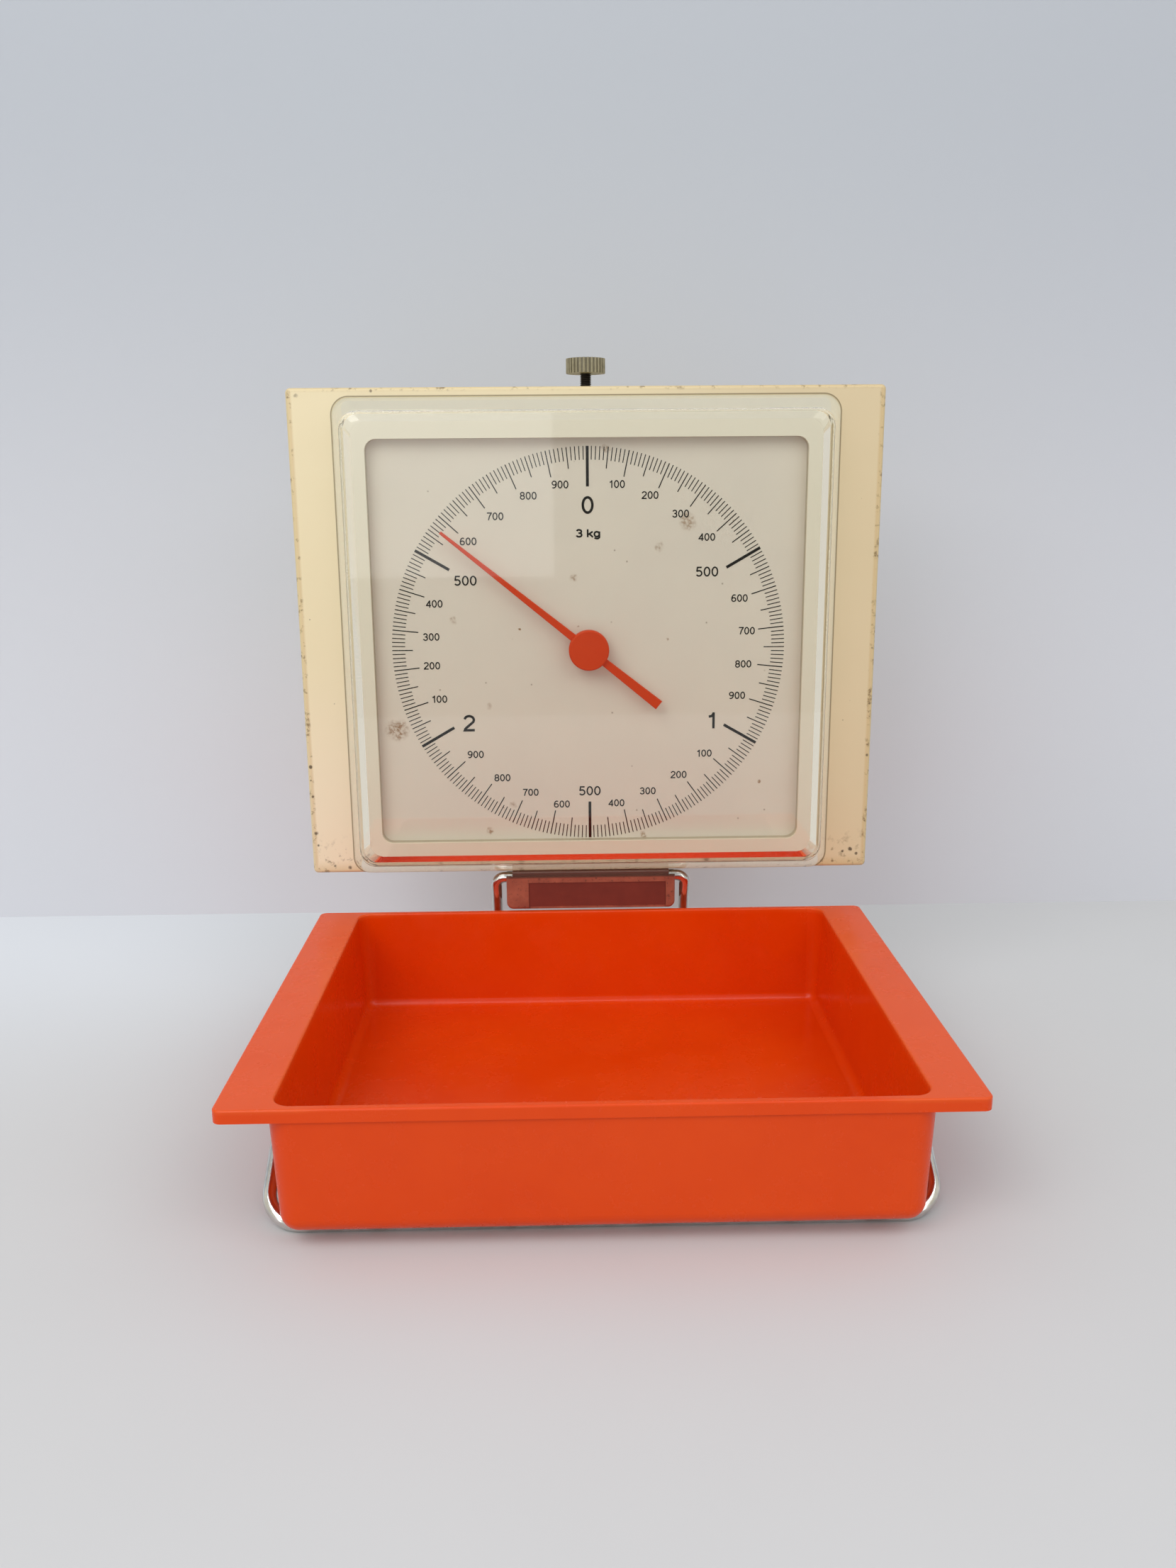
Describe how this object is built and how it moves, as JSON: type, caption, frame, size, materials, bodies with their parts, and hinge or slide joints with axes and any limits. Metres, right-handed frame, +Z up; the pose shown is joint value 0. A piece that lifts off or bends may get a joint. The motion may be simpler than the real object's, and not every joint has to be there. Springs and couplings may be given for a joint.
{
  "type": "kitchen scale",
  "caption": "Wall-type kitchen scale standing on its wire frame: box housing with a round dial under a clear cover, a zero knob on top and a shallow tray that folds up in front.",
  "frame": {"origin": "on the table plane, in the middle of the outline seen from above", "axes": "+X to the right, -Y to the front (tray and dial side), +Z up"},
  "size_m": [0.204, 0.1908, 0.2385],
  "materials": {
    "ivory_plastic": "moulded, slightly glossy, yellowed",
    "clear_plastic": "clear, polished",
    "dial_print": "white printed sheet",
    "orange_plastic": "moulded, satin",
    "pointer_paint": "orange, satin",
    "knob_plastic": "moulded, ribbed",
    "chrome_wire": "bright plated",
    "black_steel": "blackened",
    "zinc_steel": "zinc plated sheet",
    "spring_steel": "drawn wire",
    "brass": "turned",
    "nylon": "moulded",
    "rubber": "soft",
    "label_blank": "plain inlay"
  },
  "bodies": {
    "housing": {"housing": "ivory_plastic", "back_cover": "ivory_plastic", "back_screws": "zinc_steel", "clear_cover": "clear_plastic", "dial_plate": "dial_print", "dial_screws": "zinc_steel", "chassis": "zinc_steel", "chassis_screws": "zinc_steel", "guide_rods": "zinc_steel", "rod_clips": "spring_steel", "stop_buffers": "rubber", "zero_nut": "brass", "front_bush": "brass", "rear_bush": "brass"},
    "carriage": {"carriage": "zinc_steel", "guide_bushes": "nylon", "rack": "brass", "rack_rivets": "zinc_steel", "knuckle": "ivory_plastic", "knuckle_screws": "zinc_steel", "label_block": "ivory_plastic", "blank_label": "label_blank"},
    "pointer": {"pointer": "pointer_paint", "pointer_shaft": "zinc_steel", "pinion": "brass", "shaft_clip": "spring_steel"},
    "hanger": {"zero_hanger": "zinc_steel", "spring": "spring_steel"},
    "screw": {"zero_screw": "black_steel", "zero_knob": "knob_plastic", "hanger_clip": "spring_steel"},
    "frame": {"wire_frame": "chrome_wire"},
    "tray": {"tray": "orange_plastic"}
  },
  "joints": [
    {"name": "carriage_travel", "type": "slide", "parent": "housing", "child": "carriage", "axis": [0, 0, -1], "range_m": [0, 0.02153], "stiffness_N_per_m": 1561, "springref_m": 0.00065, "deforming": ["spring"]},
    {"name": "pointer_turn", "type": "hinge", "parent": "housing", "child": "pointer", "pos_m": [0, 0.0574, 0.1384], "axis": [0, 1, 0], "range_deg": [0, 412]},
    {"name": "hanger_travel", "type": "slide", "parent": "housing", "child": "hanger", "axis": [0, 0, -1], "range_m": [0, 0.0021]},
    {"name": "screw_turn", "type": "hinge", "parent": "hanger", "child": "screw", "pos_m": [0, 0.0774, 0.2279], "axis": [0, 0, -1], "range_deg": [0, 1080]},
    {"name": "frame_fold", "type": "hinge", "parent": "carriage", "child": "frame", "pos_m": [0, 0.0591, 0.0539], "axis": [-1, 0, 0], "range_deg": [0, 90]},
    {"name": "tray_off", "type": "slide", "parent": "frame", "child": "tray", "axis": [0, -1, 0], "range_m": [0, 0.1]}
  ],
  "couplings": [
    {"joint": "pointer_turn", "follows": "carriage_travel", "rad_per_m": 333.33},
    {"joint": "screw_turn", "follows": "hanger_travel", "rad_per_m": 8976}
  ]
}
